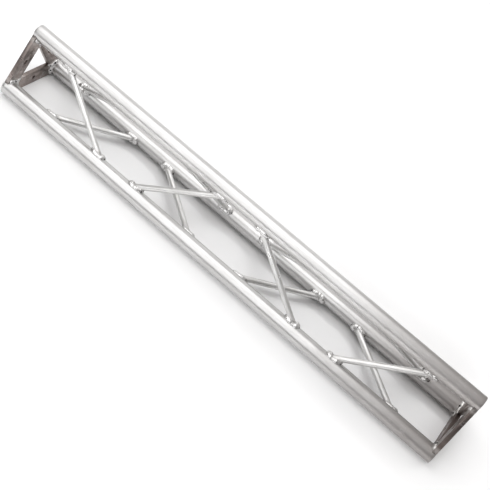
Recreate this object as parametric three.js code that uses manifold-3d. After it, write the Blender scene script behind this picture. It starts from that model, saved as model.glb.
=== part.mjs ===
// A light-duty triangular truss section in aluminium: three round chord tubes,
// round braces welded in a zigzag in all three faces, and a frame of flat bars
// with bolt holes at each end. It lies on two chords, with the third on top.
// Millimetres, +Z up, the section runs along X, origin under its middle.

import * as THREE from 'three';
import { mergeVertices } from 'three/addons/utils/BufferGeometryUtils.js';
import Module from 'manifold-3d';

// Driving dimensions
const sectionLength = 1500;
const chordDiameter = 45;
const chordWall = 2.5;
const chordSpacing = 178; // centreline to centreline, the same in all three faces
const braceDiameter = 16;
const endToInnerFoot = 338; // from a section end to the far foot of the first brace
const footGap = 136; // along X, from there to the next foot on the same chord
const barThickness = 12; // along X
const barDepth = 40; // across the face, square to X
const boltHoleDiameter = 12;
const fitGap = 0.3; // left open wherever one piece is welded to another

// How finely round shapes are divided. 72 sides put a flat facet square to
// every face, so that the section rests on facets and not on edges.
const chordSides = 72;
const braceSides = 24;
const holeSegments = 16;
const seatSegments = 14;

// Worked out from the above
const chordRadius = chordDiameter / 2;
const faceOffset = chordSpacing / (2 * Math.sqrt(3)); // face plane to section axis
const clearWidth = chordSpacing - chordDiameter; // between the tubes of one face

const outerPairFoot = sectionLength / 2 - endToInnerFoot;
const innerPairFoot = outerPairFoot - footGap;

// Shape X and Y become Y and Z of the section, and the extrusion runs along X
const alongSection = new THREE.Matrix4().makeBasis(
  new THREE.Vector3(0, 1, 0),
  new THREE.Vector3(0, 0, 1),
  new THREE.Vector3(1, 0, 0),
);

// Drawn tube, rolled bar and sawn flat bar differ a little in tone and polish
const finishes = {
  chord: { color: 0xdcdad7, roughness: 0.34, metalness: 0.95 },
  brace: { color: 0xe2e0dd, roughness: 0.28, metalness: 0.95 },
  endBar: { color: 0xa7a19b, roughness: 0.42, metalness: 0.9 },
};

const wasm = await Module();
wasm.setup();

// A closed geometry as a solid that can be cut
function toSolid(geometry) {
  const bare = geometry.clone();
  bare.deleteAttribute('normal');
  bare.deleteAttribute('uv');
  const merged = mergeVertices(bare, 1e-4);
  const mesh = new wasm.Mesh({
    numProp: 3,
    vertProperties: Float32Array.from(merged.attributes.position.array),
    triVerts: Uint32Array.from(merged.index.array),
  });
  return new wasm.Manifold(mesh);
}

function toGeometry(solid) {
  const mesh = solid.getMesh();
  const geometry = new THREE.BufferGeometry();
  geometry.setAttribute('position', new THREE.BufferAttribute(mesh.vertProperties, 3));
  geometry.setIndex(new THREE.BufferAttribute(mesh.triVerts, 1));
  geometry.computeVertexNormals();
  return geometry;
}

// A polygon around a circle of this radius, with a facet square to each axis
function facetedCircle(radius) {
  const step = (2 * Math.PI) / chordSides;
  const corner = radius / Math.cos(step / 2);
  const points = [];
  for (let side = 0; side < chordSides; side += 1) {
    const angle = (side + 0.5) * step;
    points.push(new THREE.Vector2(corner * Math.cos(angle), corner * Math.sin(angle)));
  }
  return points;
}

function extrudeAlongX(shape, length) {
  const settings = { depth: length, bevelEnabled: false, curveSegments: holeSegments };
  return new THREE.ExtrudeGeometry(shape, settings).applyMatrix4(alongSection);
}

function makeMesh(name, geometry, finish) {
  const mesh = new THREE.Mesh(geometry, new THREE.MeshStandardMaterial(finishes[finish]));
  mesh.name = name;
  return mesh;
}

// Open tube, from X = 0 to the section length
function chordGeometry() {
  const wall = new THREE.Shape(facetedCircle(chordRadius));
  wall.holes.push(new THREE.Path(facetedCircle(chordRadius - chordWall)));
  return extrudeAlongX(wall, sectionLength);
}

// Round bar that rises from the chord at -Z to the chord at +Z as X grows,
// with both ends saddle-cut to sit on the tubes
function braceGeometry(braceRun) {
  const foot = new THREE.Vector3(braceRun / 2, 0, clearWidth / 2);
  const reach = foot.clone().multiplyScalar(chordSpacing / clearWidth);
  const bar = new THREE.CylinderGeometry(
    braceDiameter / 2,
    braceDiameter / 2,
    2 * reach.length(),
    braceSides,
  );
  const turn = new THREE.Quaternion();
  turn.setFromUnitVectors(new THREE.Vector3(0, 1, 0), reach.clone().normalize());
  bar.applyQuaternion(turn);

  let solid = toSolid(bar);
  for (const side of [-1, 1]) {
    const saddle = new THREE.Shape(facetedCircle(chordRadius + fitGap));
    const cutter = extrudeAlongX(saddle, 2 * chordSpacing + braceRun);
    cutter.translate(-chordSpacing - braceRun / 2, 0, (side * chordSpacing) / 2);
    solid = solid.subtract(toSolid(cutter));
  }
  return toGeometry(solid);
}

// Flat bar across one face, coped round the tubes and mitred inside, where it
// meets the bars of the other two faces. +Y points into the section.
function endBarGeometry() {
  const seat = chordRadius + fitGap;
  const outerAngle = -Math.asin(barDepth / 2 / seat);
  const mitreAngle = Math.PI / 6 - Math.asin(fitGap / 2 / seat);
  const shift = fitGap / 2 / Math.cos(Math.PI / 6);
  const mitreEnd = chordSpacing / 2 - (barDepth / 2 + shift) / Math.tan(Math.PI / 6);

  const upperEnd = [];
  for (let step = 0; step <= seatSegments; step += 1) {
    const angle = outerAngle + ((mitreAngle - outerAngle) * step) / seatSegments;
    const across = chordSpacing / 2 - seat * Math.cos(angle);
    upperEnd.push(new THREE.Vector2(seat * Math.sin(angle), across));
  }
  upperEnd.push(new THREE.Vector2(barDepth / 2, mitreEnd));
  const lowerEnd = upperEnd.map(({ x, y }) => new THREE.Vector2(x, -y));

  const outline = new THREE.Shape([...lowerEnd, ...upperEnd.reverse()]);
  const boltHole = new THREE.Path();
  boltHole.absarc(0, 0, boltHoleDiameter / 2, 0, 2 * Math.PI);
  outline.holes.push(boltHole);
  return extrudeAlongX(outline, barThickness);
}

// Each face runs from its own chord, at -Z, to the next face's chord, at +Z.
// braceRun is along X, between the two feet of one brace. The bars were laid in
// by hand, so it differs a little from face to face.
const faces = [
  { face: 'front', chord: 'front_chord', braceRun: 206 },
  { face: 'rear', chord: 'top_chord', braceRun: 202 },
  { face: 'base', chord: 'rear_chord', braceRun: 188 },
];

// The outermost and the two middle feet stand on the face's chord at +Z, and
// the two pairs between them on its chord at -Z, so the braces fall and rise in turn
function addBraces(group, name, braceRun) {
  const outer = outerPairFoot + braceRun / 2;
  const inner = innerPairFoot - braceRun / 2;
  [-outer, -inner, inner, outer].forEach((middle, index) => {
    const brace = makeMesh(`${name}_brace_${index + 1}`, braceGeometry(braceRun), 'brace');
    const falls = index % 2 === 0;
    brace.position.set(middle, -faceOffset, 0);
    brace.rotation.z = falls ? Math.PI : 0;
    group.add(brace);
  });
}

function addEndBars(group, name) {
  const starts = { left: -sectionLength / 2, right: sectionLength / 2 - barThickness };
  for (const [end, start] of Object.entries(starts)) {
    const bar = makeMesh(`${end}_${name}_bar`, endBarGeometry(), 'endBar');
    bar.position.set(start, -faceOffset, 0);
    group.add(bar);
  }
}

const truss = new THREE.Group();
truss.position.z = chordRadius + faceOffset;

faces.forEach(({ face, chord, braceRun }, index) => {
  const group = new THREE.Group();
  group.rotation.x = -Math.PI / 6 - (index * 2 * Math.PI) / 3;

  const tube = makeMesh(chord, chordGeometry(), 'chord');
  tube.position.set(-sectionLength / 2, -faceOffset, -chordSpacing / 2);
  group.add(tube);

  addBraces(group, face, braceRun);
  addEndBars(group, face);
  truss.add(group);
});

const section = new THREE.Group();
section.add(truss);

export default section;
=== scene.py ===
import itertools
import math
import random

import bpy
from mathutils import Matrix, Vector


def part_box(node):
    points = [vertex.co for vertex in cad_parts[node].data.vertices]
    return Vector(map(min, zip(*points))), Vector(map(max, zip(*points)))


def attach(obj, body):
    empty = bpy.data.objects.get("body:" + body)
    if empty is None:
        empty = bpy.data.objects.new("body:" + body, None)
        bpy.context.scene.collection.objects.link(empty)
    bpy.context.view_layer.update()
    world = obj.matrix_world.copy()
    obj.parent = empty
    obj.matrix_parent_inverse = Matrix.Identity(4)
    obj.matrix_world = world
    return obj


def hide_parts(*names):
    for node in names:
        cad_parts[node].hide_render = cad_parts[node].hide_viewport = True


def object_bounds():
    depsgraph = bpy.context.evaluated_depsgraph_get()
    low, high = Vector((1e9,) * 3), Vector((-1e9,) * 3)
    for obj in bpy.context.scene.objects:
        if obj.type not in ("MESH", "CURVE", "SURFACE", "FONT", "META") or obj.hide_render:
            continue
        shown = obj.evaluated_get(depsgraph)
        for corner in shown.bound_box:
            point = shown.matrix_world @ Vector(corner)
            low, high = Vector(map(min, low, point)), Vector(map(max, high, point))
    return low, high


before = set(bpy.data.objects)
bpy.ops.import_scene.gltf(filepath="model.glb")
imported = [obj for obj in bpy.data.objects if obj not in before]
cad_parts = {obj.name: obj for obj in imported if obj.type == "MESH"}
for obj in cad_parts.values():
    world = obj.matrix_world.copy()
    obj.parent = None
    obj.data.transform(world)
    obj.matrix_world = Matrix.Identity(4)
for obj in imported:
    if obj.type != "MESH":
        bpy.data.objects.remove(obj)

# A triangular lighting truss section in aluminium. Metres, +Z up, the section runs along X,
# its front face looks to -Y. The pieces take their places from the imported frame, and the
# sizes that it doesn't give are named beside each piece.

cadLow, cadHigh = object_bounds()
print("frame loaded:", len(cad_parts), "nodes")


# The camera and the lamps. Two lamps light the floor without being seen in the metal, which
# keeps the undersides of the tubes from burning out, and one is seen only in the metal.

view = {
    "aim": (0.0458, 0.0, 0.0625),
    "azimuth": 14.785,     # degrees, from -Y towards +X
    "elevation": 46.5,
    "roll": 29.64,
    "distance": 2.1916,
    "lens": 61.0,
}


def addCamera():
    turn, lift, roll = (math.radians(view[k]) for k in ("azimuth", "elevation", "roll"))
    back = Vector((math.sin(turn) * math.cos(lift), -math.cos(turn) * math.cos(lift), math.sin(lift)))
    level = Vector((0, 0, 1)).cross(back).normalized()
    upright = back.cross(level)
    right = level * math.cos(roll) + upright * math.sin(roll)
    upward = upright * math.cos(roll) - level * math.sin(roll)
    place = Matrix((right, upward, back)).transposed().to_4x4()
    place.translation = Vector(view["aim"]) + back * view["distance"]
    bpy.ops.object.camera_add()
    camera = bpy.context.object
    camera.name = "sectionCamera"
    camera.matrix_world = place
    camera.data.lens = view["lens"]
    camera.data.sensor_width = 36
    camera.data.clip_end = 50
    bpy.context.scene.camera = camera


studio = {
    "worldColour": (0.95, 0.93, 0.92),
    "worldLean": (0, 0.7, 0.7),            # the room is lighter this way
    "worldSpan": (-0.3, 0.6),              # how far that way it is darkest and lightest
    "worldStrength": (0.14, 0.55),
    "lamps": {
        # name: place, aim, size, brightness, lights the floor, seen in the metal
        "behindKey": ((0.5, 1.7, 2.0), (0.3, 0, 0), (2.8, 0.6), 5.0, True, False),
        "topTent": ((-1.1, 0.3, 2.4), (-1.1, 0.3, 0), (3.3, 2.4), 1.5, True, True),
        "frontTent": ((-0.9, -1.9, 1.75), (-0.9, 0, 0.1), (3.3, 2.2), 1.4, False, True),
        "backTent": ((-1.3, 2.6, 1.2), (-1.3, 0, 0), (3.2, 2.0), 0.55, True, True),
        "lowFront": ((0.2, -2.5, 0.42), (0.1, 0, 0), (4.8, 0.66), 15.0, True, False),
    },
    "floorSize": 24, "floorGap": 0.0002,      # the gap is left under the section
    "floorColour": (0.93, 0.93, 0.93, 1),
    "floorShade": (0.88, 0.88, 0.885, 1),
}


def lightStudio():
    world = bpy.data.worlds.new("studio")
    bpy.context.scene.world = world
    world.use_nodes = True
    background = world.node_tree.nodes["Background"]
    background.inputs["Color"].default_value = (*studio["worldColour"], 1)
    tree = world.node_tree
    lean = tree.nodes.new("ShaderNodeVectorMath")
    lean.operation = "DOT_PRODUCT"
    lean.inputs[1].default_value = studio["worldLean"]
    tree.links.new(tree.nodes.new("ShaderNodeTexCoord").outputs["Generated"], lean.inputs[0])
    span = tree.nodes.new("ShaderNodeMapRange")
    span.inputs["From Min"].default_value, span.inputs["From Max"].default_value = studio["worldSpan"]
    span.inputs["To Min"].default_value, span.inputs["To Max"].default_value = studio["worldStrength"]
    tree.links.new(lean.outputs["Value"], span.inputs["Value"])
    tree.links.new(span.outputs["Result"], background.inputs["Strength"])
    for name, (place, aim, size, brightness, lightsFloor, seenInMetal) in studio["lamps"].items():
        bpy.ops.object.light_add(type="AREA", location=place)
        lamp = bpy.context.object
        lamp.name = name
        lamp.rotation_euler = (Vector(place) - Vector(aim)).to_track_quat("Z", "Y").to_euler()
        lamp.data.shape = "RECTANGLE"
        lamp.data.size, lamp.data.size_y = size
        lamp.data.energy = brightness * math.pi * size[0] * size[1]
        lamp.visible_diffuse, lamp.visible_glossy = lightsFloor, seenInMetal


bpy.context.scene.view_settings.view_transform = "Standard"
bpy.context.scene.view_settings.look = "None"
addCamera()
lightStudio()
print("camera and lamps placed")


# Where the chords and the brace feet are, read from the frame

chordNames = ("top_chord", "front_chord", "rear_chord")
faceChords = {  # each face runs from its first chord to its second
    "front": ("front_chord", "top_chord"),
    "rear": ("top_chord", "rear_chord"),
    "base": ("rear_chord", "front_chord"),
}


def chordMiddle(chord):
    low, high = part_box(chord)
    return (low + high) / 2


tubeRadius = (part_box("top_chord")[1].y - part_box("top_chord")[0].y) / 2
sectionMiddle = sum((chordMiddle(c) for c in chordNames), Vector()) / 3


def footOn(brace, chord):
    # where a brace stands on a chord: its own place along X, on the side that faces the other chord
    middle = chordMiddle(chord)
    reach = tubeRadius * 1.2
    along = [v.co.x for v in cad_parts[brace].data.vertices
             if math.hypot(v.co.y - middle.y, v.co.z - middle.z) < reach]
    return (min(along) + max(along)) / 2


braceFeet = []     # (brace, chord, other chord, place along X, place along X of its other foot)
for face, (firstChord, secondChord) in faceChords.items():
    for number in range(1, 5):
        brace = f"{face}_brace_{number}"
        firstFoot, secondFoot = footOn(brace, firstChord), footOn(brace, secondChord)
        braceFeet.append((brace, firstChord, secondChord, firstFoot, secondFoot))
        braceFeet.append((brace, secondChord, firstChord, secondFoot, firstFoot))


def footPlace(chord, otherChord, along):
    middle, other = chordMiddle(chord), chordMiddle(otherChord)
    outward = (other - middle).normalized()
    return Vector((along, middle.y, middle.z)) + outward * tubeRadius, outward


# Helpers that select, settle, copy and finish a piece

def deselectAll():
    if bpy.context.mode != "OBJECT":
        bpy.ops.object.mode_set(mode="OBJECT")
    bpy.ops.object.select_all(action="DESELECT")


def selectOnly(piece):
    deselectAll()
    piece.select_set(True)
    bpy.context.view_layer.objects.active = piece


def editWith(piece, mode="EDGE"):
    # edit mode with nothing selected
    selectOnly(piece)
    bpy.ops.object.mode_set(mode="EDIT")
    bpy.ops.mesh.select_mode(type=mode)
    bpy.ops.mesh.select_all(action="DESELECT")


def selectEdges(piece, wanted):
    bpy.ops.object.mode_set(mode="OBJECT")
    mesh = piece.data
    for edge in mesh.edges:
        edge.select = wanted(mesh.vertices[edge.vertices[0]].co, mesh.vertices[edge.vertices[1]].co)
    bpy.ops.object.mode_set(mode="EDIT")


def applyAll(piece):
    selectOnly(piece)
    for modifier in list(piece.modifiers):
        bpy.ops.object.modifier_apply(modifier=modifier.name)


def settle(piece, place=None):
    # puts a piece's place into its mesh
    if place is not None:
        piece.matrix_world = place
    selectOnly(piece)
    bpy.ops.object.transform_apply(location=True, rotation=True, scale=True)


def smoothByAngle(piece, degrees=30):
    selectOnly(piece)
    bpy.ops.object.shade_smooth_by_angle(angle=math.radians(degrees))


def copyOf(piece, name):
    twin = piece.copy()
    twin.data = piece.data.copy()
    twin.name = twin.data.name = name
    bpy.context.scene.collection.objects.link(twin)
    return twin


def addModifier(piece, kind, **values):
    modifier = piece.modifiers.new(kind.lower(), kind)
    for name, value in values.items():
        setattr(modifier, name, value)
    return modifier


def finishPiece(piece, material, slot, *nodes):
    piece.data.materials.clear()
    piece.data.materials.append(material)
    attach(piece, "root")
    if nodes:
        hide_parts(*nodes)


# Surface effects that several finishes share

def newGroup(name, inputs, outputs):
    group = bpy.data.node_groups.new(name, "ShaderNodeTree")
    for label, kind, value in inputs:
        socket = group.interface.new_socket(name=label, in_out="INPUT", socket_type=kind)
        if value is not None:
            socket.default_value = value
    for label, kind in outputs:
        group.interface.new_socket(name=label, in_out="OUTPUT", socket_type=kind)
    return group, group.nodes.new("NodeGroupInput"), group.nodes.new("NodeGroupOutput")


def put(tree, kind, settings=None, **inputs):
    # one node; an input is a number, a colour or another node's output
    node = tree.nodes.new(kind)
    for name, value in (settings or {}).items():
        setattr(node, name, value)
    for name, value in inputs.items():
        key = int(name[1:]) if name[1:].isdigit() else name.replace("_", " ")
        socket = node.inputs[key]
        if isinstance(value, bpy.types.NodeSocket):
            tree.links.new(value, socket)
        else:
            socket.default_value = value
    return node


def mathNode(tree, operation, first, second=0.0, clamp=False):
    settings = {"operation": operation, "use_clamp": clamp}
    return put(tree, "ShaderNodeMath", settings, i0=first, i1=second).outputs[0]


def stretchRange(tree, value, low, high, outLow=0.0, outHigh=1.0):
    node = put(tree, "ShaderNodeMapRange", None, Value=value)
    for index, number in enumerate((low, high, outLow, outHigh), 1):
        socket = node.inputs[index]
        if isinstance(number, bpy.types.NodeSocket):
            tree.links.new(number, socket)
        else:
            socket.default_value = number
    return node.outputs["Result"]


def mixColour(tree, factor, first, second, blend="MIX"):
    node = tree.nodes.new("ShaderNodeMix")
    node.data_type = "RGBA"
    node.blend_type = blend
    for socket, value in ((node.inputs[0], factor), (node.inputs[6], first), (node.inputs[7], second)):
        if isinstance(value, bpy.types.NodeSocket):
            tree.links.new(value, socket)
        else:
            socket.default_value = value
    return node.outputs[2]


def stretched(tree, vector, scale):
    return put(tree, "ShaderNodeMapping", None, Vector=vector, Scale=scale).outputs[0]


def makeDrawnLines():
    # fine lines that run along X, as a drawing die or a belt leaves them
    tree, given, result = newGroup(
        "drawnLines",
        [("Vector", "NodeSocketVector", None), ("Fineness", "NodeSocketFloat", 900.0)],
        [("Height", "NodeSocketFloat"), ("Tone", "NodeSocketFloat")])
    long = stretched(tree, given.outputs["Vector"], (0.004, 1, 1))
    fine = put(tree, "ShaderNodeTexNoise", None, Vector=long, Scale=given.outputs["Fineness"], Detail=3.0)
    coarseScale = mathNode(tree, "MULTIPLY", given.outputs["Fineness"], 0.16)
    coarse = put(tree, "ShaderNodeTexNoise", None, Vector=long, Scale=coarseScale, Detail=2.0)
    height = mathNode(tree, "ADD", mathNode(tree, "MULTIPLY", fine.outputs[0], 0.6),
                      mathNode(tree, "MULTIPLY", coarse.outputs[0], 0.4))
    tree.links.new(height, result.inputs["Height"])
    tree.links.new(stretchRange(tree, height, 0.35, 0.65), result.inputs["Tone"])
    return tree


def makeHandlingMarks():
    # short scratches in all directions, and dull cloudy smudges
    tree, given, result = newGroup(
        "handlingMarks",
        [("Vector", "NodeSocketVector", None), ("Scratches", "NodeSocketFloat", 0.5),
         ("Smudges", "NodeSocketFloat", 0.5)],
        [("Scratch", "NodeSocketFloat"), ("Smudge", "NodeSocketFloat")])
    vector = given.outputs["Vector"]
    lines = None
    for index, turn in enumerate((0.5, 1.35, 2.4)):
        turned = put(tree, "ShaderNodeMapping", None, Vector=vector, Rotation=(turn, 0.3 * turn, turn),
                     Scale=(16, 150, 150), Location=(index, 0, 0)).outputs[0]
        cells = put(tree, "ShaderNodeTexVoronoi", {"feature": "DISTANCE_TO_EDGE"}, Vector=turned, Scale=1.0)
        line = stretchRange(tree, cells.outputs["Distance"], 0.0, 0.03, 1.0, 0.0)
        lines = line if lines is None else mathNode(tree, "MAXIMUM", lines, line)
    patches = put(tree, "ShaderNodeTexNoise", None, Vector=vector, Scale=38.0, Detail=3.0)
    where = stretchRange(tree, patches.outputs[0], 0.56, 0.66)
    scratch = mathNode(tree, "MULTIPLY", mathNode(tree, "MULTIPLY", lines, where), given.outputs["Scratches"])
    clouds = put(tree, "ShaderNodeTexNoise", None, Vector=stretched(tree, vector, (0.45, 1, 1)),
                 Scale=22.0, Detail=6.0, Roughness=0.62, Distortion=0.4)
    smudge = mathNode(tree, "MULTIPLY", stretchRange(tree, clouds.outputs[0], 0.42, 0.7),
                      given.outputs["Smudges"])
    tree.links.new(scratch, result.inputs["Scratch"])
    tree.links.new(smudge, result.inputs["Smudge"])
    return tree


def makeWeldSmoke():
    # soot in specks and streaks, and a frosted band, from how near the weld is
    tree, given, result = newGroup(
        "weldSmoke",
        [("Vector", "NodeSocketVector", None), ("Nearness", "NodeSocketFloat", 0.0)],
        [("Soot", "NodeSocketFloat"), ("Frost", "NodeSocketFloat")])
    near = given.outputs["Nearness"]
    cloud = put(tree, "ShaderNodeTexNoise", None, Vector=given.outputs["Vector"], Scale=120.0, Detail=5.0,
                Roughness=0.65)
    specks = put(tree, "ShaderNodeTexNoise", None, Vector=given.outputs["Vector"], Scale=520.0, Detail=2.0)
    ragged = mathNode(tree, "MULTIPLY", mathNode(tree, "SUBTRACT", cloud.outputs[0], 0.5), 1.5)
    sootEdge = mathNode(tree, "ADD", near, ragged)
    soot = stretchRange(tree, sootEdge, 0.5, 1.0)
    spotted = mathNode(tree, "MULTIPLY", soot, stretchRange(tree, specks.outputs[0], 0.35, 0.6, 0.35, 1.0))
    frost = stretchRange(tree, near, 0.05, 0.5)
    tree.links.new(spotted, result.inputs["Soot"])
    tree.links.new(frost, result.inputs["Frost"])
    return tree


def makeNearTube():
    # 1 at a tube's surface, 0 at the given reach from it
    tree, given, result = newGroup(
        "nearTube",
        [("Vector", "NodeSocketVector", None), ("Reach", "NodeSocketFloat", 0.02)],
        [("Nearness", "NodeSocketFloat")])
    flat = put(tree, "ShaderNodeVectorMath", {"operation": "MULTIPLY"},
               i0=given.outputs["Vector"], i1=(0, 1, 1))
    nearest = None
    for chord in chordNames:
        middle = chordMiddle(chord)
        gap = put(tree, "ShaderNodeVectorMath", {"operation": "DISTANCE"}, i0=flat.outputs[0],
                  i1=(0, middle.y, middle.z)).outputs["Value"]
        nearest = gap if nearest is None else mathNode(tree, "MINIMUM", nearest, gap)
    beyond = mathNode(tree, "DIVIDE", mathNode(tree, "SUBTRACT", nearest, tubeRadius), given.outputs["Reach"])
    tree.links.new(mathNode(tree, "SUBTRACT", 1.0, beyond, True), result.inputs["Nearness"])
    return tree


def makePaintedEndShade():
    # painted shade: a thin brown-tinted darkening, deepest at the section's end at +X
    tree, given, result = newGroup(
        "paintedEndShade",
        [("Vector", "NodeSocketVector", None), ("From", "NodeSocketFloat", 0.5),
         ("To", "NodeSocketFloat", 0.75)],
        [("EndShade", "NodeSocketFloat")])
    parts = put(tree, "ShaderNodeSeparateXYZ", None, Vector=given.outputs["Vector"])
    cloud = put(tree, "ShaderNodeTexNoise", None, Vector=given.outputs["Vector"], Scale=14.0, Detail=5.0)
    wobble = mathNode(tree, "MULTIPLY", mathNode(tree, "SUBTRACT", cloud.outputs[0], 0.5), 0.16)
    along = mathNode(tree, "ADD", parts.outputs[0], wobble)
    paintedShade = stretchRange(tree, along, given.outputs["From"], given.outputs["To"])
    tree.links.new(paintedShade, result.inputs["EndShade"])
    return tree


drawnLines = makeDrawnLines()
handlingMarks = makeHandlingMarks()
weldSmoke = makeWeldSmoke()
nearTube = makeNearTube()
paintedEndShade = makePaintedEndShade()


def useGroup(tree, group, **inputs):
    return put(tree, "ShaderNodeGroup", {"node_tree": group}, **inputs)


# The finishes: drawn tube, rolled bar, sawn flat bar and weld metal

# each finish's grime colour and amount give painted shade towards the section's end at +X
finishes = {
    "drawnTube": {
        "bright": (0.66, 0.656, 0.652, 1), "dull": (0.56, 0.553, 0.546, 1), "paintedShade": (0.27, 0.235, 0.22, 1),
        "soot": (0.06, 0.052, 0.046, 1), "frost": (0.72, 0.71, 0.7, 1),
        "roughness": (0.34, 0.46), "fineness": 900.0, "lineHeight": 0.00002, "lineTone": 0.18,
        "scratches": 0.35, "smudges": 0.6, "paintedShadeAmount": 0.66, "heatReach": None,
    },
    "rolledBar": {
        "bright": (0.78, 0.778, 0.77, 1), "dull": (0.62, 0.612, 0.60, 1), "paintedShade": (0.25, 0.22, 0.20, 1),
        "soot": (0.09, 0.082, 0.075, 1), "frost": (0.8, 0.79, 0.78, 1),
        "roughness": (0.3, 0.42), "fineness": 120.0, "lineHeight": 0.000002, "lineTone": 0.05,
        "scratches": 0.1, "smudges": 0.8, "paintedShadeAmount": 0.25, "heatReach": 0.02,
    },
    "sawnFlat": {
        "bright": (0.37, 0.32, 0.30, 1), "dull": (0.17, 0.142, 0.13, 1), "paintedShade": (0.09, 0.068, 0.06, 1),
        "soot": (0.025, 0.02, 0.018, 1), "frost": (0.6, 0.57, 0.55, 1),
        "roughness": (0.24, 0.48), "fineness": 450.0, "lineHeight": 0.00006, "lineTone": 0.3,
        "scratches": 1.0, "smudges": 1.0, "paintedShadeAmount": 0.75, "heatReach": 0.016,
    },
}


wear = {     # how strongly each effect shows on every aluminium finish
    "frost": 0.5, "soot": 0.85, "scratch": 0.5, "scratchColour": (0.95, 0.95, 0.95, 1),
    "frostRoughness": 0.16, "paintedShadeRoughness": 0.12, "lineRoughness": 0.1,
    "paintedShadeStart": 0.3, "paintedShadeFull": 0.8,     # along X, on the welds too: painted shade darkens only the end at +X
    "swell": 0.00012,
}


def makeAluminium(name):
    recipe = finishes[name]
    material = bpy.data.materials.new(name)
    material.use_nodes = True
    tree = material.node_tree
    shader = tree.nodes["Principled BSDF"]
    vector = put(tree, "ShaderNodeTexCoord").outputs["Object"]
    lines = useGroup(tree, drawnLines, Vector=vector, Fineness=recipe["fineness"])
    marks = useGroup(tree, handlingMarks, Vector=vector,
                     Scratches=recipe["scratches"], Smudges=recipe["smudges"])
    if recipe["heatReach"]:
        near = useGroup(tree, nearTube, Vector=vector, Reach=recipe["heatReach"]).outputs["Nearness"]
    else:
        near = put(tree, "ShaderNodeAttribute", {"attribute_name": "heat"}).outputs["Fac"]
    smoke = useGroup(tree, weldSmoke, Vector=vector, Nearness=near)
    paintedShade = useGroup(tree, paintedEndShade, Vector=vector, From=wear["paintedShadeStart"],
                     To=wear["paintedShadeFull"]).outputs["EndShade"]

    colour = mixColour(tree, marks.outputs["Smudge"], recipe["bright"], recipe["dull"])
    # the grime layer is painted shade towards the end at +X; the other layers are the metal's own marks
    layers = (
        (lines.outputs["Tone"], recipe["lineTone"], recipe["dull"]),
        (paintedShade, recipe["paintedShadeAmount"], recipe["paintedShade"]),
        (smoke.outputs["Frost"], wear["frost"], recipe["frost"]),
        (smoke.outputs["Soot"], wear["soot"], recipe["soot"]),
        (marks.outputs["Scratch"], wear["scratch"], wear["scratchColour"]),
    )
    for mask, amount, layerColour in layers:
        colour = mixColour(tree, mathNode(tree, "MULTIPLY", mask, amount), colour, layerColour)
    tree.links.new(colour, shader.inputs["Base Color"])

    low, high = recipe["roughness"]
    rough = stretchRange(tree, marks.outputs["Smudge"], 0.0, 1.0, low, high)
    frosting = mathNode(tree, "MULTIPLY", smoke.outputs["Frost"], wear["frostRoughness"])
    rough = mathNode(tree, "ADD", rough, frosting)
    rough = mathNode(tree, "ADD", rough, mathNode(tree, "MULTIPLY", paintedShade, wear["paintedShadeRoughness"]))
    lineSwing = mathNode(tree, "SUBTRACT", lines.outputs["Tone"], 0.5)
    rough = mathNode(tree, "ADD", rough, mathNode(tree, "MULTIPLY", lineSwing, wear["lineRoughness"]), True)
    tree.links.new(rough, shader.inputs["Roughness"])
    shader.inputs["Metallic"].default_value = 1.0

    scratchDepth = mathNode(tree, "MULTIPLY", marks.outputs["Scratch"], -0.5)
    height = mathNode(tree, "ADD", lines.outputs["Height"], scratchDepth)
    bump = put(tree, "ShaderNodeBump", None, Height=height, Strength=0.7, Distance=recipe["lineHeight"])
    swell = put(tree, "ShaderNodeTexNoise", None, Vector=stretched(tree, vector, (0.5, 1, 1)),
                Scale=26.0, Detail=2.0)
    waves = put(tree, "ShaderNodeBump", None, Height=swell.outputs[0], Strength=0.5,
                Distance=wear["swell"], Normal=bump.outputs[0])
    tree.links.new(waves.outputs[0], shader.inputs["Normal"])
    return material


weldFinish = {
    # the grime colour is painted shade towards the end at +X; the char colour is painted shade in the
    # crevices beside the bead
    "bright": (0.76, 0.755, 0.75, 1), "dark": (0.28, 0.262, 0.25, 1), "creviceShade": (0.02, 0.018, 0.017, 1),
    "paintedShade": (0.3, 0.27, 0.24, 1), "paintedShadeAmount": 0.35,
    "roughness": (0.2, 0.44),
    "grainScale": 320.0, "grainDepth": 0.0002,
}


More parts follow.
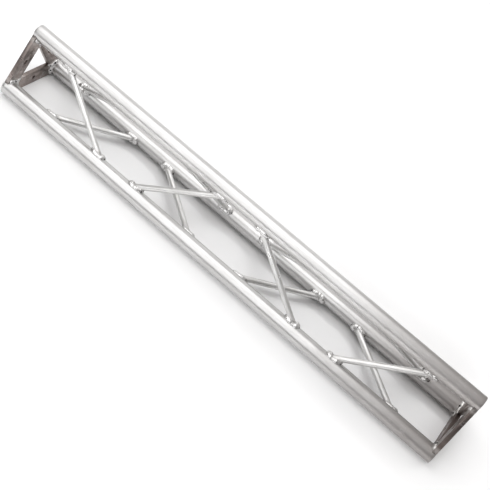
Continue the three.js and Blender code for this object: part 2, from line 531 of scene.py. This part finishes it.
def makeWeldMetal():
    material = bpy.data.materials.new("weldMetal")
    material.use_nodes = True
    tree = material.node_tree
    shader = tree.nodes["Principled BSDF"]
    vector = put(tree, "ShaderNodeTexCoord").outputs["Object"]
    cloud = put(tree, "ShaderNodeTexNoise", None, Vector=vector, Scale=190.0, Detail=5.0, Roughness=0.6)
    grain = put(tree, "ShaderNodeTexNoise", None, Vector=vector, Scale=weldFinish["grainScale"], Detail=4.0)
    paintedShade = useGroup(tree, paintedEndShade, Vector=vector, From=wear["paintedShadeStart"],
                     To=wear["paintedShadeFull"]).outputs["EndShade"]
    soot = stretchRange(tree, cloud.outputs[0], 0.55, 0.75)
    colour = mixColour(tree, soot, weldFinish["bright"], weldFinish["dark"])
    # the char attribute is painted shade in the crevices beside the bead
    creviceShade = put(tree, "ShaderNodeAttribute", {"attribute_name": "creviceShade"}).outputs["Fac"]
    ragged = mathNode(tree, "MULTIPLY", mathNode(tree, "SUBTRACT", grain.outputs[0], 0.5), 0.7)
    creviceShadeEdge = mathNode(tree, "ADD", creviceShade, ragged)
    creviceShaded = stretchRange(tree, creviceShadeEdge, 0.12, 0.4)
    # painted shade towards the end at +X, then painted shade in the crevices beside the bead
    colour = mixColour(tree, mathNode(tree, "MULTIPLY", paintedShade, weldFinish["paintedShadeAmount"]), colour,
                       weldFinish["paintedShade"])
    colour = mixColour(tree, creviceShaded, colour, weldFinish["creviceShade"])
    tree.links.new(colour, shader.inputs["Base Color"])
    low, high = weldFinish["roughness"]
    tree.links.new(stretchRange(tree, cloud.outputs[0], 0.35, 0.7, low, high), shader.inputs["Roughness"])
    shader.inputs["Metallic"].default_value = 1.0
    bump = put(tree, "ShaderNodeBump", None, Height=grain.outputs[0], Strength=0.6,
               Distance=weldFinish["grainDepth"])
    tree.links.new(bump.outputs[0], shader.inputs["Normal"])
    return material


drawnTube = makeAluminium("drawnTube")
rolledBar = makeAluminium("rolledBar")
sawnFlat = makeAluminium("sawnFlat")
weldMetal = makeWeldMetal()
print("finishes made")


# Chord tubes

chordTube = {"sides": 96, "wall": 0.0025, "cuts": 186, "rimBevel": 0.0004, "weldHalfWidth": 0.012,
             "heatReach": 0.016, "endReach": 0.03, "endSoot": 1.25, "endWeldTurn": 33, "heatAlongX": 0.55}


def makeChord():
    # an open tube on the X axis: a rolled wall, cut into rings, given its thickness
    low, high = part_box("top_chord")
    length = high.x - low.x
    deselectAll()
    bpy.ops.mesh.primitive_cylinder_add(
        vertices=chordTube["sides"], radius=tubeRadius, depth=length, end_fill_type="NOTHING",
        rotation=(0, math.pi / 2, 0))
    tube = bpy.context.object
    settle(tube)
    editWith(tube)
    selectEdges(tube, lambda a, b: abs(a.x - b.x) > length / 2)
    bpy.ops.mesh.subdivide_edgering(number_cuts=chordTube["cuts"], interpolation="LINEAR")
    bpy.ops.object.mode_set(mode="OBJECT")
    addModifier(tube, "SOLIDIFY", thickness=chordTube["wall"], offset=-1)
    addModifier(tube, "BEVEL", width=chordTube["rimBevel"], segments=2, limit_method="ANGLE",
                angle_limit=math.radians(40))
    applyAll(tube)
    smoothByAngle(tube, 40)
    return tube


def paintHeat(tube, chord):
    # how near each point is to a weld on this chord; past 1 it is thick with soot
    own = [footPlace(chord, other, along)[0] for _, here, other, along, _ in braceFeet if here == chord]
    welds = [(spot, 1.0, chordTube["heatReach"]) for spot in own]
    middle = chordMiddle(chord)
    inward = (sectionMiddle - middle).normalized()
    for end in (cadLow.x, cadHigh.x):
        for side in (-1, 0, 1):
            turn = Matrix.Rotation(side * math.radians(chordTube["endWeldTurn"]), 3, "X")
            spot = Vector((end, middle.y, middle.z)) + turn @ inward * tubeRadius
            welds.append((spot, chordTube["endSoot"], chordTube["endReach"]))
    values = []
    for vertex in tube.data.vertices:
        heat = 0.0
        fromAxis = math.hypot(vertex.co.y - middle.y, vertex.co.z - middle.z)
        outside = fromAxis > tubeRadius - chordTube["wall"] / 2
        for spot, most, reach in welds if outside else ():
            gap = vertex.co - spot
            gap.x *= chordTube["heatAlongX"]
            far = gap.length - chordTube["weldHalfWidth"]
            heat = max(heat, min(most, most * (1 - far / reach)))
        values.append(heat)
    attribute = tube.data.attributes.new("heat", "FLOAT", "POINT")
    attribute.data.foreach_set("value", values)


chordPattern = makeChord()
for chord in chordNames:
    tube = copyOf(chordPattern, chord.replace("_chord", "ChordTube"))
    middle = chordMiddle(chord)
    settle(tube, Matrix.Translation((0, middle.y, middle.z)))
    paintHeat(tube, chord)
    finishPiece(tube, drawnTube, "chord_tube", chord)
bpy.data.objects.remove(chordPattern)
print("chord tubes made")


# Braces

braceBar = {"sides": 40, "cuts": 30, "radius": 0.008, "sunkInTube": 0.0012,
            "rawLength": 0.98}     # before the saddle cuts, as a share of the way between the tubes' axes


def faceFrame(face, along=0.0, turned=False):
    # X along the section, Y into its middle, Z across the face from its first chord to its second
    first, second = (chordMiddle(c) for c in faceChords[face])
    across = (second - first).normalized()
    inward = across.cross(Vector((1, 0, 0)))
    basis = Matrix((Vector((1, 0, 0)), inward, across)).transposed().to_4x4()
    basis.translation = Vector((along, *((first + second) / 2).yz))
    if turned:
        basis = basis @ Matrix.Rotation(math.pi, 4, "Z")
    return basis


chordSpacing = (chordMiddle("top_chord") - chordMiddle("front_chord")).length


def braceLean(face):
    # the angle between this face's braces and its chords
    ends = [row[3:] for row in braceFeet if row[0] == face + "_brace_1"][0]
    return math.atan2(chordSpacing - 2 * tubeRadius, abs(ends[0] - ends[1]))


def cutWith(piece, cutter):
    addModifier(piece, "BOOLEAN", operation="DIFFERENCE", solver="EXACT", object=cutter)
    applyAll(piece)
    bpy.data.objects.remove(cutter)


def makeBrace(lean):
    # a round bar that rises to the second chord as X grows, with a saddle cut at each end
    length = (chordSpacing * braceBar["rawLength"]) / math.sin(lean)
    deselectAll()
    bpy.ops.mesh.primitive_cylinder_add(
        vertices=braceBar["sides"], radius=braceBar["radius"], depth=length,
        rotation=(0, math.pi / 2 - lean, 0))
    bar = bpy.context.object
    settle(bar)
    editWith(bar)
    selectEdges(bar, lambda a, b: (a - b).length > length / 2)
    bpy.ops.mesh.subdivide_edgering(number_cuts=braceBar["cuts"], interpolation="LINEAR")
    bpy.ops.object.mode_set(mode="OBJECT")
    for side in (-1, 1):
        deselectAll()
        bpy.ops.mesh.primitive_cylinder_add(
            vertices=chordTube["sides"], radius=tubeRadius - braceBar["sunkInTube"], depth=length * 2,
            location=(0, 0, side * chordSpacing / 2), rotation=(0, math.pi / 2, 0))
        cutWith(bar, bpy.context.object)
    smoothByAngle(bar, 35)
    return bar


bracePatterns = {face: makeBrace(braceLean(face)) for face in faceChords}
for brace, firstChord, secondChord, firstFoot, secondFoot in braceFeet[::2]:
    face = brace.split("_")[0]
    name = face + "Brace" + brace[-1]
    bar = copyOf(bracePatterns[face], name)
    settle(bar, faceFrame(face, (firstFoot + secondFoot) / 2, firstFoot > secondFoot))
    finishPiece(bar, rolledBar, "brace_bar", brace)
for pattern in bracePatterns.values():
    bpy.data.objects.remove(pattern)
print("braces made")


# End bars

endBar = {"depth": 0.040, "holeRadius": 0.006, "gap": 0.0003, "edge": 0.0007, "mitre": 30}


def makeEndBar():
    # a flat bar across one face: coped round the tubes, mitred inside, drilled in the middle
    low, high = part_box("left_base_bar")
    thickness = high.x - low.x
    depth = endBar["depth"]
    seat = tubeRadius + endBar["gap"]
    length = chordSpacing - 2 * math.sqrt(seat ** 2 - (depth / 2) ** 2)
    mitre = math.radians(endBar["mitre"])
    deselectAll()
    bpy.ops.mesh.primitive_cube_add(size=1, scale=(thickness, depth, length))
    bar = bpy.context.object
    settle(bar)
    for side in (-1, 1):
        beyond = Vector((0, math.cos(mitre), side * math.sin(mitre)))
        editWith(bar)
        bpy.ops.mesh.select_all(action="SELECT")
        bpy.ops.mesh.bisect(
            plane_co=Vector((0, 0, side * chordSpacing / 2)) - beyond * endBar["gap"] / 2,
            plane_no=beyond, use_fill=True, clear_outer=True)
        deselectAll()
        bpy.ops.mesh.primitive_cylinder_add(
            vertices=chordTube["sides"], radius=seat, depth=thickness * 2,
            location=(0, 0, side * chordSpacing / 2), rotation=(0, math.pi / 2, 0))
        cutWith(bar, bpy.context.object)
    deselectAll()
    bpy.ops.mesh.primitive_cylinder_add(vertices=48, radius=endBar["holeRadius"], depth=thickness * 2,
                                        rotation=(0, math.pi / 2, 0))
    cutWith(bar, bpy.context.object)
    addModifier(bar, "BEVEL", width=endBar["edge"], segments=2, limit_method="ANGLE",
                angle_limit=math.radians(25))
    applyAll(bar)
    smoothByAngle(bar, 25)
    return bar


endBarPattern = makeEndBar()
for end in ("left", "right"):
    for face in faceChords:
        node = f"{end}_{face}_bar"
        low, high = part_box(node)
        bar = copyOf(endBarPattern, end + face.capitalize() + "Bar")
        settle(bar, faceFrame(face, (low.x + high.x) / 2))
        finishPiece(bar, sawnFlat, "end_bar", node)
bpy.data.objects.remove(endBarPattern)
print("end bars made")


# Welds

weldBead = {
    "puddle": 0.0058, "step": 0.0036, "voxel": 0.001, "jitter": 0.26,
    "creviceShadeReach": 0.0042,     # how far the painted shade spreads from a crevice beside the bead
    "offBar": 0.0008, "offTube": 0.0002,     # how far the seam runs outside the bar and the tube
}
cornerBead = {"sweep": 58, "offTube": 0.0014, "stepScale": 1.15, "mitreStart": 0.004, "mitreStep": 0.0034}


def addPuddle(place, normal, along, size, chance):
    # one flattened drop of the bead, lying on the two faces that it joins
    turn = Matrix((along, normal.cross(along), normal)).transposed().to_euler()
    wobble = [size * (1 + weldBead["jitter"] * (chance.random() - 0.5)) for _ in range(3)]
    bpy.ops.mesh.primitive_uv_sphere_add(
        segments=14, ring_count=9, radius=1, location=place, rotation=turn,
        scale=(wobble[0] * 0.95, wobble[1], wobble[2] * 0.85))


def startBead():
    # an empty mesh, open for the drops to be added to it
    deselectAll()
    bpy.ops.mesh.primitive_uv_sphere_add(segments=8, ring_count=6, radius=0.0005)
    bead = bpy.context.object
    bpy.ops.object.mode_set(mode="EDIT")
    bpy.ops.mesh.select_all(action="SELECT")
    bpy.ops.mesh.delete(type="VERT")
    return bead


def finishBead(bead, crevices):
    # melts the drops into one ripply bead, and marks how near each point is to a crevice, for the painted
    # shade there
    deselectAll()
    addModifier(bead, "REMESH", mode="VOXEL", voxel_size=weldBead["voxel"])
    addModifier(bead, "SMOOTH", factor=0.5, iterations=6)
    applyAll(bead)
    selectOnly(bead)
    bpy.ops.object.shade_smooth()
    reach = weldBead["creviceShadeReach"]
    gaps = [min((v.co - spot).length for spot in crevices) for v in bead.data.vertices]
    creviceShade = bead.data.attributes.new("creviceShade", "FLOAT", "POINT")
    creviceShade.data.foreach_set("value", [max(0.0, 1 - gap / reach) for gap in gaps])
    return bead


def makeFootWeld(seed, slope):
    # round the foot of a brace that leans towards +X; the tube's surface is at the origin, +Z out of it
    chance = random.Random(seed)
    bead = startBead()
    lean = Vector((math.cos(slope), 0, math.sin(slope)))
    rise = Vector((-math.sin(slope), 0, math.cos(slope)))
    radius = braceBar["radius"] + weldBead["offBar"]
    tube = tubeRadius + weldBead["offTube"]

    def onSeam(angle):
        y = radius * math.sin(angle)
        z = math.sqrt(tube * tube - y * y) - tubeRadius
        reach = (z - radius * math.cos(angle) * rise.z) / lean.z
        return Vector((reach * lean.x + radius * math.cos(angle) * rise.x, y, z))

    angles, angle = [], 0.0
    while angle < 2 * math.pi:
        angles.append(angle)
        stride = (onSeam(angle + 0.05) - onSeam(angle)).length / 0.05
        angle += weldBead["step"] * (0.85 + 0.3 * chance.random()) / stride
    for angle in angles:
        seam = onSeam(angle)
        along = (onSeam(angle + 0.05) - seam).normalized()
        tubeNormal = Vector((0, seam.y, seam.z + tubeRadius)).normalized()
        barNormal = rise * math.cos(angle) + Vector((0, 1, 0)) * math.sin(angle)
        normal = tubeNormal + barNormal
        acute = max(0.0, -math.cos(angle))         # 1 under the leaning bar
        obtuse = max(0.0, math.cos(angle))         # 1 behind it
        if normal.length < 0.2:
            normal = Vector((1, 0, 0))
        normal = (normal.normalized() * (1 - acute) + Vector((0.9, 0, 0.3)) * acute).normalized()
        normal = (normal - along * normal.dot(along)).normalized()
        size = weldBead["puddle"] * (1 + 0.3 * acute + 0.45 * obtuse)
        out = 0.0003 + 0.0035 * acute
        addPuddle(seam + normal * out, normal, along, size, chance)
    # a last blob runs up the back of the bar
    back = onSeam(0.0) + lean * 0.005 + rise * 0.0004
    addPuddle(back, rise, lean, weldBead["puddle"] * 1.25, chance)
    # the crevices where the bead meets bar and tube get painted shade
    acuteEnd, obtuseEnd = onSeam(math.pi), onSeam(0.0)
    crevices = [acuteEnd + Vector((0.0095, 0.003, 0.004)), acuteEnd + Vector((0.008, -0.006, 0.001)),
                obtuseEnd + Vector((-0.008, 0.002, 0.001))]
    return finishBead(bead, crevices)


weldNumbers = itertools.count(1)


def placeWeld(pattern, matrix, slot, name):
    bead = copyOf(pattern, f"{name}{next(weldNumbers):02d}")
    settle(bead, matrix)
    finishPiece(bead, weldMetal, slot)


footSeeds = {"front": (3, 8), "rear": (21, 34), "base": (13, 5)}
footPatterns = {(face, turn): makeFootWeld(seed, braceLean(face))
                for face, seeds in footSeeds.items() for turn, seed in enumerate(seeds)}
for index, (brace, chord, otherChord, along, otherAlong) in enumerate(braceFeet):
    spot, outward = footPlace(chord, otherChord, along)
    ahead = Vector((1 if otherAlong > along else -1, 0, 0))
    matrix = Matrix((ahead, outward.cross(ahead), outward)).transposed().to_4x4()
    matrix.translation = spot
    placeWeld(footPatterns[brace.split("_")[0], index // 3 % 2], matrix, "brace_bar", "footWeld")
for pattern in footPatterns.values():
    bpy.data.objects.remove(pattern)
print("foot welds made")


def makeCornerWeld(seed, leftOpen):
    # inside an end frame: round the tube where both bars meet it, then along the mitre between them.
    # +X into the section from the bars' inner side, +Z from the tube to the section's middle
    chance = random.Random(seed)
    bead = startBead()
    step = weldBead["step"] * cornerBead["stepScale"]
    sweep = math.radians(cornerBead["sweep"])
    radius = tubeRadius + cornerBead["offTube"]
    count = int(2 * sweep * radius / step)
    for number in range(count + 1):
        angle = -sweep + 2 * sweep * number / count
        out = Vector((0, math.sin(angle), math.cos(angle)))
        along = Vector((0, math.cos(angle), -math.sin(angle)))
        normal = (out + Vector((1, 0, 0))).normalized()
        size = weldBead["puddle"] * (0.95 + 0.35 * chance.random())
        addPuddle(out * radius + Vector((0.0006, 0, 0)), normal, along, size, chance)
    for number in range(2 if leftOpen else 5):
        up = tubeRadius + cornerBead["mitreStart"] + number * cornerBead["mitreStep"]
        spot = Vector((0.0, 0.0008 * (chance.random() - 0.5), up))
        size = weldBead["puddle"] * (0.95 - 0.09 * number)
        addPuddle(spot, Vector((1, 0, 0)), Vector((0, 0, 1)), size, chance)
    crevices = [Vector((0.005, side * 0.013, tubeRadius + 0.001)) for side in (-1, 1)]
    crevices.append(Vector((0.005, 0.002, tubeRadius + 0.013)))
    # an open gap: its outer half is painted dark all over, as shade
    if leftOpen:
        crevices += [Vector((x, y, tubeRadius + z)) for x in (0.001, 0.005)
                     for y in (-0.008, -0.003, 0.003, 0.008) for z in (-0.001, 0.003, 0.006)]
    return finishBead(bead, crevices)


cornerPatterns = [makeCornerWeld(seed, leftOpen) for seed, leftOpen in ((5, False), (11, False), (17, True))]
for end in ("left", "right"):
    low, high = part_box(f"{end}_base_bar")
    sideX, ahead = (high.x, 1) if end == "left" else (low.x, -1)
    for number, chord in enumerate(chordNames):
        middle = chordMiddle(chord)
        inward = Vector((0, *(sectionMiddle - middle).yz)).normalized()
        forward = Vector((ahead, 0, 0))
        matrix = Matrix((forward, inward.cross(forward), inward)).transposed().to_4x4()
        matrix.translation = Vector((sideX, middle.y, middle.z))
        isOpen = end == "right" and chord == "front_chord"
        placeWeld(cornerPatterns[2 if isOpen else number % 2], matrix, "end_bar", "cornerWeld")
for pattern in cornerPatterns:
    bpy.data.objects.remove(pattern)
print("corner welds made")


# Floor

deselectAll()
bpy.ops.mesh.primitive_plane_add(size=studio["floorSize"],
                                 location=(0, 0, cadLow.z - studio["floorGap"]))
floor = bpy.context.object
floor.name = "floor"
floorMaterial = bpy.data.materials.new("paleFloor")
floorMaterial.use_nodes = True
floorTree = floorMaterial.node_tree
floorVector = put(floorTree, "ShaderNodeTexCoord").outputs["Object"]
floorNoise = put(floorTree, "ShaderNodeTexNoise", None, Vector=floorVector, Scale=3.0, Detail=2.0)
floorTree.links.new(
    mixColour(floorTree, floorNoise.outputs[0], studio["floorColour"], studio["floorShade"]),
    floorTree.nodes["Principled BSDF"].inputs["Base Color"])
floorTree.nodes["Principled BSDF"].inputs["Roughness"].default_value = 0.85
floor.data.materials.append(floorMaterial)
